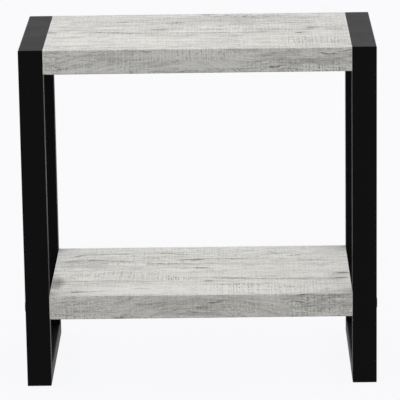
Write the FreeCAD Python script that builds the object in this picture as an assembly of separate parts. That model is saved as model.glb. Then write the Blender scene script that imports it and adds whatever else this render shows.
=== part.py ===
import FreeCAD, Part
import math
import os

# End table with a lower shelf. Two hollow-core boards, the table top and the shelf, are
# bolted between two closed rectangular side frames of steel tube.
# Millimetres. +X runs along the boards, -Y is the front and +Z is up. The origin is on the
# floor, under the middle of the table.

# ---- Driving dimensions: the table ----
board_length = 500.0            # each board, from one side frame to the other
board_thickness = 40.0
table_depth = 300.0             # front of the legs to the back of the legs
frame_height = 568.0            # a side frame, without its glides
shelf_height = 155.0            # bottom of the side frames to the top of the shelf

# ---- Driving dimensions: the frame tube, a rectangular hollow section ----
tube_width = 40.0               # along X
tube_thickness = 25.0           # along Y in a leg and along Z in a rail
tube_wall = 1.2
tube_corner_radius = 2.0        # along the tube's four long edges
weld_corner_radius = 1.5        # where two mitred tubes are welded and ground round

# ---- Driving dimensions: the board's layers ----
wrap_thickness = 0.5            # decor foil round the long faces
band_thickness = 0.5            # decor foil on the ends
arris_radius = 1.5              # along the board's four long edges
seam_gap = 0.4                  # between the wrap's two edges, on the underside
seam_inset = 45.0               # from the back of the board to the seam
skin_thickness = 3.0
long_batten_width = 28.0        # front and rear battens, along Y
end_batten_width = 35.0         # left and right battens, along X
cell_size = 24.0                # across the flats of one honeycomb cell
cell_wall = 0.5

# ---- Driving dimensions: the joint hardware ----
bolt_diameter = 6.0
bolt_length = 16.0              # under the head
head_diameter = 10.5
head_height = 3.3
head_rounding = 1.6
socket_across_flats = 4.0
socket_depth = 2.0
washer_diameter = 13.0
washer_thickness = 1.2
insert_diameter = 10.0
insert_length = 15.0
bolt_hole_diameter = 7.0        # in the tube's inner wall
access_hole_diameter = 15.0     # in the tube's outer wall
top_bolt_spacing = 150.0        # along Y, between the two bolts at one end of the table top
thread_clearance = 0.05         # all round, between the bolt and what it passes through
fit_clearance = 0.05            # all round, between a pressed-in piece and its hole

# ---- Driving dimensions: the plastic plugs and glides ----
plug_flange_diameter = 18.0
plug_flange_thickness = 0.8
plug_flange_chamfer = 0.5
plug_stem_length = 6.0
plug_wall = 1.2
glide_diameter = 22.0
glide_height = 3.0
glide_chamfer = 1.0
glide_inset = 23.0              # from the front or back of the frame to the glide's middle
glide_stem_diameter = 8.0
glide_stem_length = 9.0
snap_rim_height = 0.25          # how far the rim behind the tube's wall stands out
snap_rim_width = 1.0

# ---- Places that follow from the dimensions ----
X_AXIS = FreeCAD.Vector(1, 0, 0)
Y_AXIS = FreeCAD.Vector(0, 1, 0)
Z_AXIS = FreeCAD.Vector(0, 0, 1)
ORIGIN = FreeCAD.Vector(0, 0, 0)

half_length = board_length / 2
half_depth = table_depth / 2
outer_face = half_length + tube_width
frame_bottom = glide_height
frame_top = frame_bottom + frame_height
shelf_top = frame_bottom + shelf_height
bolt_seat = half_length + tube_wall + washer_thickness

# Each bolt line is the Y and Z of a bolt: through the middle of the top rails for the table
# top, and through the middle of the legs for the shelf.
top_bolt_lines = [
    (side * top_bolt_spacing / 2, frame_top - tube_thickness / 2) for side in (-1, 1)
]
shelf_bolt_lines = [
    (side * (half_depth - tube_thickness / 2), shelf_top - board_thickness / 2)
    for side in (-1, 1)
]
bolt_lines = top_bolt_lines + shelf_bolt_lines
glide_places = [
    FreeCAD.Vector(half_length + tube_width / 2, side * (half_depth - glide_inset), 0)
    for side in (-1, 1)
]


# ---- Shapes that several pieces use ----
def box_between(low, high):
    """A box from its lowest corner to its highest one."""
    size = high - low
    return Part.makeBox(size.x, size.y, size.z, low)


def rounded_box(low, high, axis, radius):
    """A box whose four edges along an axis are rounded."""
    box = box_between(low, high)
    if radius <= 0:
        return box
    edges = [
        edge for edge in box.Edges
        if abs(edge.tangentAt(edge.FirstParameter).dot(axis)) > 0.5
    ]
    return box.makeFillet(radius, edges)


def rod_along_x(start, end, line, diameter):
    """A round rod along X from start to end, on a bolt line."""
    centre = FreeCAD.Vector(start, line[0], line[1])
    return Part.makeCylinder(diameter / 2, end - start, centre, X_AXIS)


def hexagon(centre, across_flats, normal):
    """A hexagonal face around a centre, square to a normal."""
    ring = Part.makeCircle(across_flats / math.sqrt(3), centre, normal)
    corners = [ring.valueAt(math.radians(60 * step)) for step in range(6)]
    return Part.Face(Part.makePolygon(corners + corners[:1]))


def round_edges_at(solid, axis, place, size, cut):
    """Round or chamfer the ring edges that lie at one place along an axis."""
    rings = [
        edge for edge in solid.Edges
        if isinstance(edge.Curve, Part.Circle) and abs(edge.Curve.Center.dot(axis) - place) < 1e-6
    ]
    return cut(solid, size, rings)


def mirrored(shape):
    """The left-hand copy of a right-hand shape."""
    return shape.mirror(ORIGIN, X_AXIS)


def on_both_sides(shapes):
    """One group of separate solids: the right-hand ones and their left-hand copies."""
    return Part.makeCompound(shapes + [mirrored(shape) for shape in shapes])


# ---- Side frame: four mitred tubes welded into a rectangle ----
def tube_between(low, high, axis):
    """A rectangular hollow section that fills a box, open at both ends along an axis."""
    wall = (X_AXIS + Y_AXIS + Z_AXIS - axis) * tube_wall
    outside = rounded_box(low, high, axis, tube_corner_radius)
    inside = rounded_box(low + wall, high - wall, axis, tube_corner_radius - tube_wall)
    return outside.cut(inside)


def frame_holes():
    """What is drilled in the right-hand frame: bolt, access and glide holes."""
    mid_tube = half_length + tube_width / 2
    holes = []
    for line in bolt_lines:
        holes.append(rod_along_x(half_length, mid_tube, line, bolt_hole_diameter))
        holes.append(rod_along_x(mid_tube, outer_face, line, access_hole_diameter))
    for place in glide_places:
        foot = place + Z_AXIS * frame_bottom
        holes.append(Part.makeCylinder(glide_stem_diameter / 2, tube_thickness / 2, foot, Z_AXIS))
    return Part.makeCompound(holes)


def side_frame():
    """The right-hand frame's tubes, by name."""
    low = FreeCAD.Vector(half_length, -half_depth, frame_bottom)
    high = FreeCAD.Vector(outer_face, half_depth, frame_top)
    ground_outline = rounded_box(low, high, X_AXIS, weld_corner_radius)
    outer = [(low.y, low.z), (low.y, high.z), (high.y, high.z), (high.y, low.z)]
    inner = [
        (y - math.copysign(tube_thickness, y), z + (tube_thickness if z == low.z else -tube_thickness))
        for y, z in outer
    ]
    holes = frame_holes()
    tubes = {}
    for number, name in enumerate(("front_leg", "top_rail", "rear_leg", "bottom_rail")):
        following = (number + 1) % len(outer)
        corners = (outer[number], outer[following], inner[following], inner[number])
        points = [FreeCAD.Vector(half_length, y, z) for y, z in corners]
        mitred = Part.Face(Part.makePolygon(points + points[:1])).extrude(X_AXIS * tube_width)
        box = mitred.BoundBox
        axis = Z_AXIS if name.endswith("leg") else Y_AXIS
        tube = tube_between(
            FreeCAD.Vector(box.XMin, box.YMin, box.ZMin),
            FreeCAD.Vector(box.XMax, box.YMax, box.ZMax),
            axis,
        )
        tubes[name] = tube.common(mitred).common(ground_outline).cut(holes)
    return tubes


# ---- Board: skins on battens and a honeycomb, wrapped in decor foil ----
def board_wrap(low, high, lining):
    """The foil round the top, front, underside and back, with its seam below."""
    wrap = rounded_box(low, high, X_AXIS, arris_radius).cut(lining)
    seam_back = half_depth - seam_inset
    seam = box_between(
        FreeCAD.Vector(low.x, seam_back - seam_gap, low.z),
        FreeCAD.Vector(high.x, seam_back, low.z + wrap_thickness),
    )
    return wrap.cut(seam)


def end_band(underside, pockets):
    """The foil on the right-hand end, as large as the wrapped board, with its insert holes."""
    band = rounded_box(
        FreeCAD.Vector(half_length - band_thickness, -half_depth, underside),
        FreeCAD.Vector(half_length, half_depth, underside + board_thickness),
        X_AXIS,
        arris_radius,
    )
    return band.cut(pockets)


def honeycomb(low, high):
    """A paper comb that fills a box, its cells upright and cut straight at the box's sides."""
    column_pitch = (cell_size + cell_wall) * math.sqrt(3) / 2
    row_pitch = cell_size + cell_wall
    columns = math.ceil((high.x - low.x) / column_pitch) + 1
    rows = math.ceil((high.y - low.y) / row_pitch) + 2
    cells = []
    for column in range(columns):
        for row in range(rows):
            shift = (column % 2) * row_pitch / 2
            centre = FreeCAD.Vector(low.x + column * column_pitch, low.y + row * row_pitch - shift, low.z)
            cells.append(hexagon(centre, cell_size, Z_AXIS))
    rim = [
        low,
        FreeCAD.Vector(high.x, low.y, low.z),
        FreeCAD.Vector(high.x, high.y, low.z),
        FreeCAD.Vector(low.x, high.y, low.z),
        low,
    ]
    sheet = Part.Face(Part.makePolygon(rim)).cut(Part.makeCompound(cells))
    joined = max(sheet.Faces, key=lambda face: face.Area)
    return joined.extrude(Z_AXIS * (high.z - low.z))


def board(underside, lines):
    """One board's pieces, by name, from its underside and its bolt lines."""
    end = half_length - band_thickness
    low = FreeCAD.Vector(-end, -half_depth, underside)
    high = FreeCAD.Vector(end, half_depth, underside + board_thickness)
    foil = (Y_AXIS + Z_AXIS) * wrap_thickness
    lining = rounded_box(low + foil, high - foil, X_AXIS, arris_radius - wrap_thickness)
    front = low.y + wrap_thickness
    back = high.y - wrap_thickness
    core_floor = low.z + wrap_thickness + skin_thickness
    core_roof = high.z - wrap_thickness - skin_thickness
    core_front = front + long_batten_width
    core_back = back - long_batten_width
    core_end = end - end_batten_width
    pocket_bottom = half_length - insert_length
    pocket_diameter = insert_diameter + 2 * fit_clearance
    pockets = on_both_sides(
        [rod_along_x(pocket_bottom, half_length, line, pocket_diameter) for line in lines]
    )

    def layer(floor, roof):
        """The slice of the lined board between two heights."""
        slab = box_between(FreeCAD.Vector(-end, front, floor), FreeCAD.Vector(end, back, roof))
        return lining.common(slab)

    def batten(x_low, x_high, y_low, y_high):
        """A rail between the skins, drilled for the inserts that reach it."""
        rail = box_between(
            FreeCAD.Vector(x_low, y_low, core_floor), FreeCAD.Vector(x_high, y_high, core_roof)
        )
        return rail.cut(pockets)

    right_band = end_band(underside, pockets)
    return {
        "wrap": board_wrap(low, high, lining),
        "upper_skin": layer(core_roof, high.z),
        "lower_skin": layer(low.z, core_floor),
        "front_batten": batten(-end, end, front, core_front),
        "rear_batten": batten(-end, end, core_back, back),
        "right_batten": batten(core_end, end, core_front, core_back),
        "left_batten": batten(-end, -core_end, core_front, core_back),
        "honeycomb_core": honeycomb(
            FreeCAD.Vector(-core_end, core_front, core_floor),
            FreeCAD.Vector(core_end, core_back, core_roof),
        ),
        "right_end_band": right_band,
        "left_end_band": mirrored(right_band),
    }


# ---- Joint hardware, one of each on every bolt line at each side ----
def frame_bolt(line):
    """A button-head bolt, its head inside the tube and its shank in the board's insert."""
    crown = bolt_seat + head_height
    head = rod_along_x(bolt_seat, crown, line, head_diameter)
    head = round_edges_at(head, X_AXIS, crown, head_rounding, Part.Shape.makeFillet)
    key_centre = FreeCAD.Vector(crown - socket_depth, line[0], line[1])
    key_socket = hexagon(key_centre, socket_across_flats, X_AXIS).extrude(X_AXIS * socket_depth)
    shank = rod_along_x(bolt_seat - bolt_length, bolt_seat, line, bolt_diameter)
    return head.cut(key_socket).fuse(shank)


def bolt_washer(line):
    """A flat washer between the bolt's head and the tube's inner wall."""
    seat = half_length + tube_wall
    disc = rod_along_x(seat, bolt_seat, line, washer_diameter)
    return disc.cut(rod_along_x(seat, bolt_seat, line, bolt_diameter + 2 * thread_clearance))


def threaded_insert(line):
    """A sleeve pressed into the board's end, flush with it."""
    start = half_length - insert_length
    sleeve = rod_along_x(start, half_length, line, insert_diameter)
    return sleeve.cut(rod_along_x(start, half_length, line, bolt_diameter + 2 * thread_clearance))


def hole_plug(line):
    """A thin round cap with a hollow stem and a rim that snaps in behind the tube's wall."""
    flange_face = outer_face + plug_flange_thickness
    stem_end = outer_face - plug_stem_length
    stem_diameter = access_hole_diameter - 2 * fit_clearance
    flange = rod_along_x(outer_face, flange_face, line, plug_flange_diameter)
    flange = round_edges_at(
        flange, X_AXIS, flange_face, plug_flange_chamfer, Part.Shape.makeChamfer
    )
    stem = rod_along_x(stem_end, outer_face, line, stem_diameter)
    rim_outer = outer_face - tube_wall - fit_clearance
    rim_diameter = access_hole_diameter + 2 * snap_rim_height
    rim = rod_along_x(rim_outer - snap_rim_width, rim_outer, line, rim_diameter)
    hollow = rod_along_x(stem_end, outer_face, line, stem_diameter - 2 * plug_wall)
    return flange.fuse([stem, rim]).cut(hollow)


def foot_glide(place):
    """A round glide under the bottom rail, held by a stem that snaps into the tube."""
    disc = Part.makeCylinder(glide_diameter / 2, glide_height, place, Z_AXIS)
    disc = round_edges_at(disc, Z_AXIS, place.z, glide_chamfer, Part.Shape.makeChamfer)
    stem_radius = glide_stem_diameter / 2 - fit_clearance
    seat = place + Z_AXIS * frame_bottom
    stem = Part.makeCylinder(stem_radius, glide_stem_length, seat, Z_AXIS)
    rim_base = seat + Z_AXIS * (tube_wall + fit_clearance)
    rim_radius = glide_stem_diameter / 2 + snap_rim_height
    rim = Part.makeCylinder(rim_radius, snap_rim_width, rim_base, Z_AXIS)
    return disc.fuse([stem, rim])


# ---- All nodes ----
def all_nodes():
    """Every node of the table, by name."""
    nodes = {}
    for name, tube in side_frame().items():
        nodes["right_" + name] = tube
        nodes["left_" + name] = mirrored(tube)
    boards = {
        "top": board(frame_top - board_thickness, top_bolt_lines),
        "shelf": board(shelf_top - board_thickness, shelf_bolt_lines),
    }
    for board_name, pieces in boards.items():
        for piece_name, piece in pieces.items():
            nodes[board_name + "_" + piece_name] = piece
    nodes["frame_bolts"] = on_both_sides([frame_bolt(line) for line in bolt_lines])
    nodes["bolt_washers"] = on_both_sides([bolt_washer(line) for line in bolt_lines])
    nodes["threaded_inserts"] = on_both_sides([threaded_insert(line) for line in bolt_lines])
    nodes["hole_plugs"] = on_both_sides([hole_plug(line) for line in bolt_lines])
    nodes["foot_glides"] = on_both_sides([foot_glide(place) for place in glide_places])
    return nodes


os.makedirs("parts", exist_ok=True)
for node_name, shape in all_nodes().items():
    shape.exportStep("parts/" + node_name + ".step")
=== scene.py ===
import bmesh
import bpy
import math
from mathutils import Matrix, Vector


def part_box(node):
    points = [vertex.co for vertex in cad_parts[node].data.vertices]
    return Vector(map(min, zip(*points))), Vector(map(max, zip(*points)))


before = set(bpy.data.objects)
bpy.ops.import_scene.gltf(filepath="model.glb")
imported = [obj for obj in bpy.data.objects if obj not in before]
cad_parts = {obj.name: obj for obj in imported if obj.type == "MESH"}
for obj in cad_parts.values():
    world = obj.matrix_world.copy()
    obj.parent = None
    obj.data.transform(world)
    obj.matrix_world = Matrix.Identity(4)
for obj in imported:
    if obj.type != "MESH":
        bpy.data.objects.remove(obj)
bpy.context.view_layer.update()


# ---- Side frames: left and right ----
# Each side frame is four lengths of rectangular steel tube, mitred and welded into a closed
# rectangle. The weld is ground flush, and the whole frame is powder coated satin black.
class Wire:
    """One socket of a finish's nodes, so that sums of patterns are written as sums."""

    def __init__(self, tree, socket=None):
        self.tree = tree
        self.socket = socket

    def node(self, kind, settings=None, sockets=None, out=0):
        """Add a node with its settings, then its sockets' values or wires, and give an output."""
        made = self.tree.nodes.new(kind)
        for key, value in (settings or {}).items():
            setattr(made, key, value)
        for key, value in (sockets or {}).items():
            if isinstance(value, Wire):
                self.tree.links.new(value.socket, made.inputs[key])
            else:
                made.inputs[key].default_value = value
        return None if out is None else Wire(self.tree, made.outputs[out])

    def math(self, operation, *terms):
        return self.node("ShaderNodeMath", {"operation": operation}, dict(enumerate(terms)))

    def __add__(self, other):
        return self.math("ADD", self, other)

    def __radd__(self, other):
        return self.math("ADD", other, self)

    def __sub__(self, other):
        return self.math("SUBTRACT", self, other)

    def __rsub__(self, other):
        return self.math("SUBTRACT", other, self)

    def __mul__(self, other):
        return self.math("MULTIPLY", self, other)

    def __rmul__(self, other):
        return self.math("MULTIPLY", other, self)

    def __truediv__(self, other):
        return self.math("DIVIDE", self, other)

    def __abs__(self):
        return self.math("ABSOLUTE", self)

    def least(self, other):
        return self.math("MINIMUM", self, other)

    def most(self, other):
        return self.math("MAXIMUM", self, other)

    def sign(self):
        return self.math("SIGN", self)

    def wave(self):
        """From -1 to 1 and back, once in every step of 1."""
        return self.math("SINE", self * math.tau)

    def ramp(self, low, high):
        """0 at low, 1 at high, eased in between; low may be the larger one."""
        return self.node(
            "ShaderNodeMapRange",
            {"interpolation_type": "SMOOTHSTEP", "clamp": False},
            {"Value": self, "From Min": low, "From Max": high},
        )

    def axes(self):
        """The three parts of a vector."""
        return [self.node("ShaderNodeSeparateXYZ", None, {0: self}, out) for out in range(3)]

    def noise(self, x, y, z, detail=2.0, roughness=0.5):
        """Cloudy noise about 0, from about -1 to 1, at a place whose unit is one cloud."""
        place = self.node("ShaderNodeCombineXYZ", None, {0: x, 1: y, 2: z})
        cloud = self.node(
            "ShaderNodeTexNoise",
            {"noise_dimensions": "3D"},
            {"Vector": place, "Scale": 1.0, "Detail": detail, "Roughness": roughness},
        )
        return (cloud - 0.5) * 3.0

    def blend(self, first, second):
        """A colour between two, by this wire."""
        return self.node(
            "ShaderNodeMix",
            {"data_type": "RGBA", "clamp_factor": True},
            {0: self, 6: first, 7: second},
            out=2,
        )


def finish(name):
    """A new finish, and the place on the piece in millimetres as three wires."""
    material = bpy.data.materials.new(name)
    material.use_nodes = True
    start = Wire(material.node_tree)
    metres = start.node("ShaderNodeTexCoord", out="Object")
    place = start.node("ShaderNodeVectorMath", {"operation": "SCALE"}, {0: metres, "Scale": 1000.0})
    return material, start, place.axes()


def surface(material, start, relief, depth, sockets):
    """Fill in the finish's shader. Its bump is the relief times the depth, in metres."""
    shader = material.node_tree.nodes["Principled BSDF"]
    bump = start.node("ShaderNodeBump", None, {"Strength": 1.0, "Distance": depth, "Height": relief})
    for key, value in {**sockets, "Normal": bump}.items():
        if isinstance(value, Wire):
            material.node_tree.links.new(value.socket, shader.inputs[key])
        else:
            shader.inputs[key].default_value = value


def dress(material, *names):
    """Give the finish to CAD pieces."""
    for name in names:
        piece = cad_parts[name]
        if not piece.material_slots:
            piece.data.materials.append(material)
        for place in piece.material_slots:
            place.material = material


def grey(value, warmth=0.0):
    """A colour from one value, with more red and less blue by its warmth."""
    return (value * (1 + warmth), value, value * (1 - warmth), 1.0)


def box_mm(name):
    """The lowest and the highest corner of a CAD piece, in millimetres."""
    return [corner * 1000.0 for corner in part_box(name)]


leg_low, leg_high = box_mm("right_front_leg")
frame_front = abs(leg_low.y)                # from the middle, and as far again to the rear
frame_foot = leg_low.z
frame_head = leg_high.z
ground_band = 5.0                           # each side of a mitre, where the weld is ground
weld_line = 0.7                             # each side of a mitre, still seen as a line
coat_depth = 0.00012

coat, start, (x, y, z) = finish("powder_coat")
from_edge = frame_front - abs(y)
mitre = abs(from_edge - (frame_head - z)).least(abs(from_edge - (z - frame_foot)))
ground = mitre.ramp(ground_band, 0.0)
line = mitre.ramp(weld_line, 0.0)

# Sprayed powder melts into a fine orange peel over longer swells.
peel = start.noise(x / 1.8, y / 1.8, z / 1.8, detail=2.0, roughness=0.45)
swell = start.noise(x / 7.0, y / 7.0, z / 7.0, detail=1.0)
speck = start.noise(x / 0.5, y / 0.5, z / 0.5, detail=1.0)
ripple = start.noise(x / 3.0, y / 3.0, z / 3.0, detail=3.0, roughness=0.6)
cloud = start.noise(x / 60.0, y / 60.0, z / 90.0, detail=3.0)
relief = peel * 0.25 + swell * 0.3 + speck * 0.04 - ground * (0.5 + ripple * 0.35) - line * 0.5
shade = 0.5 + cloud * 0.2 + speck * 0.25 + ground * 0.15
surface(coat, start, relief, coat_depth, {
    "Base Color": shade.blend(grey(0.0014), grey(0.0036)),
    "Roughness": 0.46 + cloud * 0.05 + peel * 0.03 + ground * 0.06,
    "Specular IOR Level": 0.06,
})
dress(coat, *[
    side + tube
    for side in ("left_", "right_")
    for tube in ("front_leg", "rear_leg", "top_rail", "bottom_rail")
])


# ---- Board wraps: table top and shelf ----
# One sheet of decor foil goes round the top, front, underside and back of each board, glued
# over the skins, with its seam below. It is printed as pale grey weathered oak with cross saw
# marks, and embossed along the print.
def reach(along, across, centre_along, centre_across, half_length, half_width):
    """0 in the middle of an oval, 1 on its edge, and more outside it."""
    far_along = (along - centre_along) / half_length
    far_across = (across - centre_across) / half_width
    return far_along * far_along + far_across * far_across


print_dark = (0.195, 0.188, 0.172, 1.0)
print_pale = (0.800, 0.790, 0.755, 1.0)
ring_spacing = 3.6
tick_spacing = 5.4
emboss_depth = 0.00010


def decor(name, along_axis, across_axis, seed, lightness, checks, saw_zones, flames, clouds):
    """Printed oak foil. along_axis and across_axis give the grain's directions on the piece.

    Every mark in the four lists starts with its middle, along and across, and its half length
    and half width. A check ends with its lean and its strength, a saw zone with its strength,
    a flame with how far it lifts the rings, and a cloud with how much it lightens the print.
    A cloud that darkens may be painted shade rather than print, as at the shelf's left end.
    """
    material, start, place = finish(name)
    along = along_axis(*place)
    across = across_axis(*place)

    def grain(length, width, layer, side, detail=2.0, roughness=0.5):
        """Noise in clouds this long and wide. side is across, or the rings' own measure."""
        return start.noise(
            along / length, side / width, seed + layer, detail=detail, roughness=roughness)

    # The growth rings bend in slow waves. They rise round the flames, and curl a little there.
    slow = grain(150.0, 45.0, 0.0, across)
    quick = grain(24.0, 11.0, 7.0, across, detail=3.0, roughness=0.6)
    curl = grain(6.0, 7.0, 43.0, across)
    bent = across + slow * 7.0 + quick * 2.4
    in_flame = 0.0
    for *oval, lift in flames:
        hill = reach(along, across, *oval).ramp(1.0, 0.0)
        bent = bent + hill * lift
        in_flame = hill + in_flame
    bent = bent + curl * in_flame.least(1.0) * 1.5

    # The print's own unevenness, from broad bands down to flecks.
    bands = grain(260.0, 15.0, 11.0, bent, detail=4.0, roughness=0.7)
    blotch = grain(60.0, 26.0, 13.0, across, detail=3.0, roughness=0.6)
    streaks = grain(85.0, 8.0, 17.0, bent, detail=3.0, roughness=0.8)
    fibres = grain(24.0, 1.9, 19.0, bent, roughness=0.6)
    flecks = grain(5.0, 1.6, 21.0, bent, detail=1.0)
    gaps = grain(48.0, 15.0, 23.0, across)

    # Thin dark ring lines lie close together, and break off along the grain.
    rings = bent / ring_spacing + grain(110.0, 24.0, 5.0, bent) * 1.4
    lines = rings.wave().ramp(0.30, 1.0) * gaps.ramp(-0.25, 0.5)
    wide_rings = (rings * 0.58).wave() * in_flame.least(1.0)

    # Short pores along the grain, most of them where the print is dark.
    pores = grain(12.0, 1.0, 29.0, bent, detail=1.0).ramp(0.30, 0.75)
    pores = pores * blotch.ramp(0.5, -0.6)

    # Cross saw marks: fine upright ticks in patches, dark and pale ones side by side.
    sway = grain(18.0, 400.0, 31.0, across, roughness=0.6)
    height = grain(3.0, 8.0, 33.0, across, detail=1.0).ramp(-0.4, 0.3)
    specks = grain(2.8, 2.6, 35.0, across, detail=1.0)
    uneven = grain(2.8, 12.0, 39.0, across, detail=1.0)
    teeth = (along / tick_spacing + sway * 1.6).wave() * 0.6 + uneven * 0.7
    teeth = teeth * height + specks * 0.9
    patch = grain(45.0, 17.0, 37.0, across).ramp(-0.3, 0.5)
    patch = patch * 0.24 + 0.12
    loose_along = along + quick
    loose_across = across + quick
    for *oval, strength in saw_zones:
        patch = patch + reach(loose_along, loose_across, *oval).ramp(1.0, 0.2) * strength
    ticks = teeth * patch

    # Checks are short dark splits along the grain, frayed by the fibres, each in a soft darker
    # streak.
    broken = grain(7.0, 2.2, 41.0, across).ramp(-0.5, 0.3)
    frayed = along + fibres * 0.5
    wander = across + quick * 2.4 + fibres * 0.3
    splits = 0.0
    smudges = 0.0
    for centre_along, centre_across, half_length, half_width, lean, strength in checks:
        tilted = wander - (frayed - centre_along) * lean
        far = reach(frayed, tilted, centre_along, centre_across, half_length, half_width)
        far = far + fibres * 0.8
        splits = far.ramp(1.0, 0.3) * strength + splits
        smudges = far.ramp(6.0, 0.5) * strength + smudges
    splits = splits * (0.35 + broken * 0.65)

    tone = lightness + bands * 0.20 + blotch * 0.08 + streaks * 0.42
    tone = tone + fibres * 0.42 + flecks * 0.30 + wide_rings * 0.08
    tone = tone + ticks * 0.64 - lines * 0.26 - pores * 0.30 - splits - smudges * 0.10
    for *oval, lift in clouds:
        tone = tone + reach(frayed, wander, *oval).ramp(1.0, 0.0) * lift
    tone = tone.most(0.0).least(1.0)

    relief = 0.5 - lines * 0.4 - splits * 0.9 - pores * 0.4 + ticks * 0.35 + fibres * 0.12
    surface(material, start, relief, emboss_depth, {
        "Base Color": tone.blend(print_dark, print_pale),
        "Roughness": 0.58 - bands * 0.03 + lines * 0.10 + splits * 0.15 + fibres * 0.03,
        "Specular IOR Level": 0.30,
    })
    return material


top_low, top_high = box_mm("top_wrap")
shelf_low, shelf_high = box_mm("shelf_wrap")
seam_inset = 45.0                           # from the back, on the underside
foil_thickness = 0.5


def along_board(x, y, z):
    return x


def round_board(low, high):
    """Give the measure across the foil as it lies flat, with 0 in the middle of the upper face.

    It runs down the front edge and on under the board, and down the back, to meet at the seam.
    """
    def across(x, y, z):
        half = (y - (high.y - seam_inset)).sign()           # -1 in front of the seam, 1 behind it
        underside = (low.z + foil_thickness / 2 - z).sign().most(0.0)
        return y - (z - high.z) * half + (half * high.y - y) * underside * 2.0
    return across


top_decor = decor(
    "table_top_foil", along_board, round_board(top_low, top_high), seed=3.0, lightness=0.76,
    checks=[
        # Upper face.
        (-152.0, -3.0, 28.0, 3.0, -0.10, 0.70),
        (-110.0, -14.0, 50.0, 3.0, -0.05, 0.75),
        (-66.0, 14.0, 16.0, 3.0, 0.0, 0.45),
        (-128.0, 82.0, 12.0, 3.8, 0.0, 0.75),
        (-100.0, 80.0, 30.0, 2.6, 0.0, 0.40),
        (-130.0, 49.0, 44.0, 2.6, 0.0, 0.40),
        (-215.0, 18.0, 26.0, 2.6, 0.05, 0.40),
        (-243.0, -3.0, 10.0, 5.0, 0.0, 0.80),
        (-236.0, -17.0, 10.0, 3.0, 0.0, 0.40),
        (40.0, -17.0, 105.0, 2.6, -0.01, 0.60),
        (55.0, -49.0, 24.0, 2.6, 0.0, 0.50),
        (-10.0, -44.0, 30.0, 2.4, 0.0, 0.35),
        (18.0, 141.0, 9.0, 5.0, 0.5, 0.50),
        (34.0, 122.0, 14.0, 3.4, 0.0, 0.50),
        (48.0, 136.0, 7.0, 6.0, -0.7, 0.40),
        (62.0, 121.0, 6.0, 6.0, 0.8, 0.35),
        (78.0, 124.0, 7.0, 6.0, 0.6, 0.50),
        (96.0, 114.0, 8.0, 6.0, -0.6, 0.40),
        (114.0, 118.0, 10.0, 4.0, -0.3, 0.40),
        (-38.0, 72.0, 12.0, 4.0, 0.0, 0.40),
        (150.0, 62.0, 16.0, 3.0, 0.0, 0.40),
        (194.0, 21.0, 14.0, 4.6, 0.20, 0.95),
        (184.0, 4.0, 11.0, 3.6, 0.40, 0.60),
        (167.0, -26.0, 9.0, 4.2, -0.30, 0.90),
        (234.0, 24.0, 20.0, 3.0, 0.0, 0.45),
        (228.0, -4.0, 24.0, 2.8, 0.0, 0.45),
        # Front edge.
        (-234.0, -178.0, 14.0, 1.3, -0.10, 0.50),
        (-218.0, -182.0, 18.0, 1.1, 0.15, 0.30),
        (-112.0, -174.0, 14.0, 1.2, 0.0, 0.15),
        (-84.0, -152.5, 10.0, 1.4, 0.0, 0.50),
        (130.0, -180.0, 17.0, 1.8, 0.08, 0.60),
        (118.0, -160.0, 12.0, 1.0, 0.05, 0.30),
        (213.0, -161.0, 17.0, 1.8, -0.05, 0.80),
        (236.0, -156.0, 16.0, 1.2, 0.10, 0.50),
        (70.0, -184.0, 40.0, 1.0, 0.02, 0.40),
        # Underside.
        (-120.0, -258.0, 36.0, 2.8, 0.03, 0.60),
        (62.0, -334.0, 24.0, 3.0, 0.0, 0.70),
        (172.0, -402.0, 30.0, 2.6, -0.03, 0.50),
        (-44.0, -297.0, 12.0, 3.4, 0.10, 0.60),
    ],
    saw_zones=[
        # Upper face.
        (70.0, 14.0, 120.0, 28.0, 0.30),
        (190.0, -92.0, 78.0, 44.0, 0.50),
        (-90.0, -10.0, 90.0, 20.0, 0.35),
        (-38.0, 72.0, 30.0, 24.0, 0.36),
        # Front edge.
        (10.0, -159.0, 66.0, 13.0, 0.85),
        (-120.0, -170.0, 90.0, 22.0, 0.20),
        (190.0, -185.0, 62.0, 8.0, 1.05),
    ],
    flames=[
        # Upper face.
        (60.0, 128.0, 90.0, 24.0, 10.0),
        # Front edge.
        (-30.0, -200.0, 115.0, 60.0, -32.0),
        (-125.0, -196.0, 60.0, 40.0, -12.0),
        (140.0, -178.0, 60.0, 20.0, -8.0),
        (-235.0, -176.0, 40.0, 16.0, 4.0),
        # Underside.
        (-20.0, -326.0, 150.0, 50.0, -26.0),
    ],
    clouds=[
        # Upper face.
        (-30.0, -3.0, 30.0, 7.0, 0.36),
        (36.0, -5.0, 70.0, 6.0, 0.28),
        (8.0, -39.0, 14.0, 7.0, 0.22),
        (92.0, -107.0, 20.0, 5.0, 0.26),
        (92.0, -120.0, 20.0, 4.0, 0.20),
        (-60.0, -140.0, 100.0, 5.0, 0.14),
        (-62.0, 16.0, 18.0, 22.0, -0.13),
        (70.0, 34.0, 130.0, 14.0, 0.09),
        (35.0, 72.0, 40.0, 26.0, 0.07),
        (-215.0, -20.0, 46.0, 16.0, 0.16),
        (205.0, -18.0, 26.0, 46.0, 0.14),
        (-37.0, 70.0, 20.0, 20.0, -0.12),
        (-120.0, -80.0, 170.0, 62.0, 0.13),
        (60.0, 95.0, 190.0, 62.0, -0.14),
        (90.0, 6.0, 110.0, 26.0, -0.07),
        (200.0, -90.0, 90.0, 50.0, -0.08),
        (140.0, 10.0, 120.0, 90.0, -0.08),
        # Front edge.
        (185.0, -172.0, 70.0, 7.0, -0.16),
        (20.0, -168.0, 90.0, 26.0, 0.21),
        (-12.0, -157.0, 76.0, 10.0, 0.20),
        (-150.0, -172.0, 120.0, 30.0, 0.08),
        (-150.0, -164.0, 62.0, 14.0, -0.09),
        (-65.0, -158.0, 18.0, 8.0, 0.10),
        (-243.0, -170.0, 16.0, 12.0, 0.14),
        (118.0, -155.0, 32.0, 8.0, 0.09),
        (156.0, -171.0, 36.0, 8.0, -0.10),
    ],
)
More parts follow.
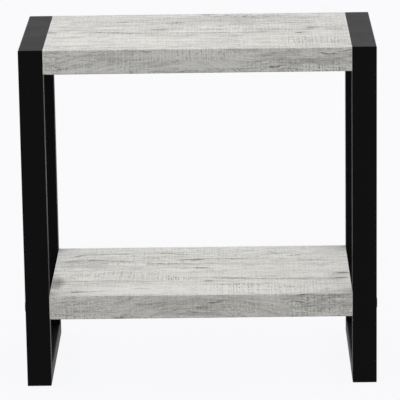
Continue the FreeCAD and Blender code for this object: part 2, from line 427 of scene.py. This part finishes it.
# The shelf's print is set lighter than the table top's (0.80 against 0.76). This is a painted lift
# that makes up for the shade the table top casts on the shelf.
shelf_decor = decor(
    "shelf_foil", along_board, round_board(shelf_low, shelf_high), seed=61.0, lightness=0.80,
    checks=[
        # Upper face.
        (-14.0, 67.0, 28.0, 4.0, 0.10, 0.95),
        (50.0, 69.0, 44.0, 3.4, -0.02, 0.40),
        (-3.0, 14.0, 18.0, 3.4, 0.0, 0.85),
        (30.0, -13.0, 70.0, 2.6, -0.04, 0.45),
        (-50.0, 41.0, 46.0, 3.0, -0.05, 0.75),
        (12.0, -66.0, 10.0, 4.2, 0.1, 0.85),
        (52.0, -51.0, 40.0, 4.4, -0.05, 0.75),
        (150.0, -58.0, 105.0, 2.8, -0.02, 0.55),
        (60.0, -89.0, 52.0, 3.0, 0.0, 0.65),
        (-206.0, -126.0, 13.0, 3.6, 0.15, 0.65),
        (-190.0, -125.0, 42.0, 2.8, 0.0, 0.60),
        (-190.0, -63.0, 44.0, 2.4, 0.0, 0.45),
        (-98.0, -111.0, 18.0, 3.0, 0.0, 0.50),
        (-212.0, 97.0, 16.0, 3.0, 0.50, 0.85),
        (-118.0, 97.0, 10.0, 4.0, -0.50, 0.40),
        (-96.0, 84.0, 9.0, 4.0, 0.60, 0.40),
        (-78.0, 78.0, 9.0, 4.0, -0.60, 0.40),
        (-60.0, 92.0, 8.0, 4.0, 0.60, 0.35),
        (124.0, 106.0, 10.0, 4.0, -0.60, 0.50),
        (-160.0, 107.0, 46.0, 2.6, 0.05, 0.70),
        (-70.0, 110.0, 36.0, 2.6, 0.0, 0.45),
        (-38.0, 102.0, 22.0, 3.0, -0.30, 0.60),
        (-226.0, 67.0, 14.0, 3.0, 0.0, 0.40),
        (-180.0, 67.0, 26.0, 3.2, 0.02, 0.60),
        (-140.0, 57.0, 30.0, 3.0, -0.10, 0.50),
        (160.0, 88.0, 16.0, 3.8, 0.20, 0.90),
        (85.0, 120.0, 22.0, 2.8, 0.0, 0.50),
        (190.0, 55.0, 40.0, 2.6, -0.05, 0.28),
        (242.0, -26.0, 18.0, 5.4, 0.0, 0.95),
        (236.0, -56.0, 16.0, 4.0, 0.15, 0.70),
        # Front edge.
        (24.0, -163.0, 14.0, 1.8, 0.12, 0.85),
        (5.0, -172.0, 14.0, 2.4, 0.0, 0.50),
        (-90.0, -165.0, 22.0, 1.5, 0.10, 0.35),
        (-125.0, -158.0, 20.0, 1.2, 0.30, 0.50),
        (165.0, -152.5, 10.0, 1.3, 0.0, 0.50),
        (203.0, -159.0, 8.0, 1.1, 0.0, 0.30),
        (208.0, -153.5, 40.0, 1.5, 0.0, 0.35),
        (196.0, -179.0, 5.0, 2.4, 0.0, 0.40),
        (-125.0, -188.0, 30.0, 1.0, 0.0, 0.50),
        # Underside.
        (104.0, -246.0, 28.0, 2.8, -0.04, 0.60),
        (-168.0, -338.0, 34.0, 3.0, 0.02, 0.65),
        (8.0, -388.0, 20.0, 3.0, 0.0, 0.55),
        (196.0, -300.0, 14.0, 3.4, 0.10, 0.50),
    ],
    saw_zones=[
        # Upper face.
        (-50.0, -48.0, 36.0, 14.0, 2.00),
        (-150.0, -30.0, 100.0, 30.0, 0.45),
        (60.0, -92.0, 60.0, 9.0, 0.60),
        (110.0, -115.0, 130.0, 34.0, 0.62),
        (10.0, 110.0, 50.0, 30.0, 0.20),
        (-90.0, 90.0, 60.0, 34.0, 0.25),
        (45.0, -120.0, 55.0, 30.0, 0.45),
        # Front edge.
        (-212.0, -182.0, 46.0, 9.0, 0.60),
        (195.0, -168.0, 62.0, 22.0, 0.28),
        (60.0, -172.0, 90.0, 18.0, 0.15),
    ],
    flames=[
        # Upper face.
        (-115.0, 72.0, 120.0, 44.0, -20.0),
        (130.0, 98.0, 60.0, 22.0, -8.0),
        # Front edge.
        (5.0, -205.0, 150.0, 66.0, -40.0),
        # Underside.
        (80.0, -312.0, 130.0, 46.0, 24.0),
    ],
    clouds=[
        # Upper face.
        (-188.0, -44.0, 26.0, 14.0, 0.28),
        (-150.0, -138.0, 70.0, 6.0, 0.16),
        (120.0, -72.0, 110.0, 6.0, 0.10),
        # Painted shade: a strong, soft dark patch at the left end of the upper face, next to the
        # left frame, where the frame shades the shelf.
        (-246.0, -72.0, 22.0, 52.0, -0.60),
        (-182.0, 48.0, 84.0, 34.0, -0.18),
        (176.0, 62.0, 62.0, 22.0, -0.05),
        (150.0, 98.0, 110.0, 48.0, 0.06),
        (12.0, -136.0, 26.0, 12.0, 0.12),
        (-48.0, -46.0, 36.0, 10.0, -0.10),
        (10.0, -10.0, 150.0, 44.0, 0.06),
        (-110.0, -110.0, 120.0, 36.0, 0.08),
        (0.0, -118.0, 330.0, 40.0, 0.14),
        (-170.0, -112.0, 110.0, 34.0, 0.10),
        (40.0, -20.0, 200.0, 70.0, 0.06),
        (-150.0, 120.0, 140.0, 40.0, 0.06),
        # Front edge.
        (10.0, -170.0, 110.0, 26.0, -0.13),
        (200.0, -164.0, 90.0, 24.0, -0.24),
        (162.0, -166.0, 16.0, 8.0, 0.06),
        (183.0, -165.0, 12.0, 10.0, 0.16),
        (-222.0, -176.0, 12.0, 10.0, 0.16),
        (-76.0, -166.0, 34.0, 8.0, -0.16),
        (-150.0, -182.0, 24.0, 7.0, 0.10),
        (162.0, -158.0, 16.0, 7.0, 0.12),
    ],
)
dress(top_decor, "top_wrap")
dress(shelf_decor, "shelf_wrap")


# ---- End bands: both ends of each board ----
# A strip of the same printed foil is glued on each end, its grain along the strip. It is cut
# flush with the wrap and pierced for the bolts' inserts.
def along_band(x, y, z):
    return y


def up_band(x, y, z):
    return z


band_decor = decor(
    "end_band_foil", along_band, up_band, seed=137.0, lightness=0.76,
    checks=[
        (-60.0, shelf_high.z - 12.0, 22.0, 2.0, 0.03, 0.45),
        (70.0, shelf_high.z - 27.0, 16.0, 2.4, 0.0, 0.50),
        (30.0, top_high.z - 18.0, 20.0, 2.0, 0.0, 0.45),
    ],
    saw_zones=[(40.0, shelf_high.z - 20.0, 60.0, 14.0, 0.2)],
    flames=[(-20.0, shelf_high.z - 20.0, 80.0, 20.0, 9.0)],
    clouds=[
        (-100.0, shelf_high.z - 25.0, 30.0, 3.0, 0.12),
        (100.0, shelf_high.z - 20.0, 60.0, 20.0, -0.06),
    ],
)
dress(band_decor, *[
    board + side + "_end_band" for board in ("top_", "shelf_") for side in ("left", "right")
])


# ---- Skins: upper and lower, in each board ----
# Thin sheets of fibreboard carry the foil and close the board. They are glued to the battens
# and to the comb, and are seen only if the foil is taken off.
fibre_depth = 0.00012

fibreboard, start, (x, y, z) = finish("fibreboard")
lump = start.noise(x / 2.2, y / 2.2, z / 0.8, detail=4.0, roughness=0.6)
fluff = start.noise(x / 0.6, y / 0.6, z / 0.4, detail=3.0, roughness=0.6)
drift = start.noise(x / 60.0, y / 60.0, z / 20.0, detail=3.0)
shade = 0.5 + lump * 0.22 + fluff * 0.18 + drift * 0.12
surface(fibreboard, start, lump * 0.4 + fluff * 0.6, fibre_depth, {
    "Base Color": shade.blend((0.24, 0.145, 0.075, 1.0), (0.42, 0.28, 0.165, 1.0)),
    "Roughness": 0.85 + fluff * 0.06,
    "Specular IOR Level": 0.2,
})
dress(fibreboard, *[
    board + side + "_skin" for board in ("top_", "shelf_") for side in ("upper", "lower")
])


# ---- Battens: front, rear and both ends, in each board ----
# Rails of pressed chips stand between the skins all round the board. The end ones are drilled
# for the threaded inserts that take the bolts.
chip_length = 3.2
chip_thickness = 1.1
chip_depth = 0.00020

chipboard, start, (x, y, z) = finish("chipboard")
place = start.node(
    "ShaderNodeCombineXYZ",
    None,
    {0: x / chip_length, 1: y / chip_length, 2: z / chip_thickness},
)
chips = start.node(
    "ShaderNodeTexVoronoi",
    {"voronoi_dimensions": "3D", "feature": "F1"},
    {"Vector": place, "Scale": 1.0, "Randomness": 1.0},
    out="Color",
)
chip_tone, chip_side, chip_height = chips.axes()
grit = start.noise(x / 0.7, y / 0.7, z / 0.5, detail=2.0)
shade = chip_tone * 0.75 + grit * 0.15 + 0.1
surface(chipboard, start, chip_height * 0.6 + grit * 0.3, chip_depth, {
    "Base Color": shade.blend((0.20, 0.115, 0.05, 1.0), (0.56, 0.40, 0.23, 1.0)),
    "Roughness": 0.82 + chip_side * 0.12,
    "Specular IOR Level": 0.2,
})
dress(chipboard, *[
    board + side + "_batten"
    for board in ("top_", "shelf_")
    for side in ("front", "rear", "left", "right")
])


# ---- Comb: the filling of each board ----
# A honeycomb of stiff brown paper stands between the skins and is glued to both. It keeps the
# thick boards light.
pulp_depth = 0.00008

comb_paper, start, (x, y, z) = finish("comb_paper")
pulp = start.noise(x / 4.0, y / 4.0, z / 1.6, detail=4.0, roughness=0.65)
fleck = start.noise(x / 0.8, y / 0.8, z / 2.4, detail=2.0)
shade = 0.5 + pulp * 0.22 - fleck.ramp(0.5, 1.0) * 0.25
surface(comb_paper, start, pulp * 0.5 + fleck * 0.5, pulp_depth, {
    "Base Color": shade.blend((0.26, 0.165, 0.085, 1.0), (0.47, 0.33, 0.19, 1.0)),
    "Roughness": 0.9 - fleck * 0.04,
    "Specular IOR Level": 0.15,
})
dress(comb_paper, "top_honeycomb_core", "shelf_honeycomb_core")


# ---- Threaded inserts: eight, in the boards' ends ----
# Turned steel sleeves with a plain grey finish are pressed into the end battens, flush with
# the end bands.
lathe_pitch = 0.12                          # between the marks of the turning tool
lathe_depth = 0.00002

insert_steel, start, (x, y, z) = finish("insert_steel")
lathe = start.noise(x / lathe_pitch, y / 30.0, z / 30.0, detail=2.0)
tarnish = start.noise(x / 3.0, y / 3.0, z / 3.0, detail=3.0, roughness=0.6)
shade = 0.5 + lathe * 0.2 + tarnish * 0.25
surface(insert_steel, start, lathe, lathe_depth, {
    "Base Color": shade.blend(grey(0.22, 0.02), grey(0.40, 0.02)),
    "Roughness": 0.42 + tarnish * 0.08,
    "Metallic": 1.0,
})
dress(insert_steel, "threaded_inserts")


# ---- Bolts and washers: eight of each, inside the tubes ----
# Button-head bolts, each with a flat washer under its head, pass through the tubes' inner
# walls into the inserts. Both are zinc plated, with a faint cloudy cast of blue and yellow.
zinc_depth = 0.00002

zinc, start, (x, y, z) = finish("zinc_plate")
spangle = start.noise(x / 1.6, y / 1.6, z / 1.6, detail=3.0, roughness=0.6)
brushed = start.noise(x / 0.15, y / 8.0, z / 8.0, detail=2.0)
shade = 0.5 + spangle * 0.35
surface(zinc, start, brushed * 0.5 + spangle * 0.3, zinc_depth, {
    "Base Color": shade.blend((0.50, 0.53, 0.58, 1.0), (0.66, 0.65, 0.60, 1.0)),
    "Roughness": 0.32 + spangle * 0.07,
    "Metallic": 1.0,
})
dress(zinc, "frame_bolts", "bolt_washers")


# ---- Hole plugs and foot glides ----
# Caps of moulded black plastic snap into the access holes on the frames' outsides, and four
# round glides snap in under the bottom rails. Both have a fine moulded grain.
mould_depth = 0.00006

black_plastic, start, (x, y, z) = finish("black_plastic")
leather = start.noise(x / 0.9, y / 0.9, z / 0.9, detail=3.0, roughness=0.6)
rub = start.noise(x / 5.0, y / 5.0, z / 5.0, detail=3.0)
shade = 0.5 + leather * 0.2 + rub * 0.2
surface(black_plastic, start, leather, mould_depth, {
    "Base Color": shade.blend(grey(0.0032), grey(0.0075)),
    "Roughness": 0.52 + rub * 0.08,
    "Specular IOR Level": 0.12,
})
dress(black_plastic, "hole_plugs", "foot_glides")


# ---- Floor and light ----
# A plain white floor runs on into a white room. Soft light comes from a band of the sky all
# round, and most of it from the left and the right.
white = (0.956, 0.956, 0.973, 1.0)
floor_reach = 40.0
floor_gap = 0.0002                          # under the glides, so that the faces never meet
glow_share = 0.96                           # the rest takes the table's shadow
floor_mesh = bpy.data.meshes.new("floor")
build = bmesh.new()
bmesh.ops.create_grid(build, x_segments=1, y_segments=1, size=floor_reach)
bmesh.ops.translate(build, verts=build.verts, vec=(0.0, 0.0, -floor_gap))
build.to_mesh(floor_mesh)
build.free()
floor = bpy.data.objects.new("floor", floor_mesh)
bpy.context.scene.collection.objects.link(floor)

floor_paint = bpy.data.materials.new("floor_paint")
floor_paint.use_nodes = True
floor_paint.node_tree.nodes.clear()
start = Wire(floor_paint.node_tree)


def seen_ray(start):
    """1 on rays from the camera and on rays that metal or glass sends on."""
    camera_ray = start.node("ShaderNodeLightPath", out="Is Camera Ray")
    glossy_ray = start.node("ShaderNodeLightPath", out="Is Glossy Ray")
    clear_ray = start.node("ShaderNodeLightPath", out="Is Transmission Ray")
    return camera_ray.most(glossy_ray).most(clear_ray)


def shader_mix(start, factor, first, second):
    return start.node("ShaderNodeMixShader", None, {0: factor, 1: first, 2: second})


# Seen, the floor is white with a faint shadow. The light that it throws back on the table is
# dim, and from below it is clear.
lit_white = start.node("ShaderNodeBsdfDiffuse", None, {"Color": (0.93, 0.93, 0.946, 1.0)})
glow_white = start.node("ShaderNodeEmission", None, {"Color": white, "Strength": 1.0})
dim_floor = start.node("ShaderNodeBsdfDiffuse", None, {"Color": grey(0.16)})
clear = start.node("ShaderNodeBsdfTransparent")
below = start.node("ShaderNodeNewGeometry", out="Backfacing")
seen = shader_mix(start, glow_share, lit_white, glow_white)
upper = shader_mix(start, seen_ray(start), dim_floor, seen)
either_side = shader_mix(start, below, upper, clear)
start.node("ShaderNodeOutputMaterial", None, {"Surface": either_side}, out=None)
floor_mesh.materials.append(floor_paint)

room = bpy.data.worlds.new("room")
bpy.context.scene.world = room
room.use_nodes = True
room.node_tree.nodes.clear()
start = Wire(room.node_tree)
direction = start.node("ShaderNodeTexCoord", out="Generated")
to_side, _, to_top = direction.axes()
sky_band = to_top.ramp(0.10, 0.35) * to_top.ramp(0.80, 0.55)
strength = 0.10 + sky_band * (0.87 + to_side * to_side * 3.5)
sky_light = start.node("ShaderNodeBackground", None, {"Color": grey(1.0), "Strength": strength})
backdrop = start.node("ShaderNodeBackground", None, {"Color": white, "Strength": 1.0})
around = shader_mix(start, seen_ray(start), sky_light, backdrop)
start.node("ShaderNodeOutputWorld", None, {"Surface": around}, out=None)

bpy.context.scene.view_settings.view_transform = "Standard"


# ---- Camera ----
# It stands well back, above the table top, and looks slightly down at the front.
camera_place = (0.058, -4.810, 1.514)
camera_turn = 0.70                          # degrees to the left
camera_dip = 14.38                          # degrees below level
camera_roll = -0.86                         # degrees, about its line of sight

lens = bpy.data.cameras.new("camera")
lens.sensor_width = 36.0
lens.lens = 264.96
lens.clip_start = 0.1
lens.clip_end = 100.0
camera = bpy.data.objects.new("camera", lens)
bpy.context.scene.collection.objects.link(camera)
camera.matrix_world = (
    Matrix.Translation(camera_place)
    @ Matrix.Rotation(math.radians(camera_turn), 4, "Z")
    @ Matrix.Rotation(math.radians(90.0 - camera_dip), 4, "X")
    @ Matrix.Rotation(math.radians(camera_roll), 4, "Z")
)
bpy.context.scene.camera = camera
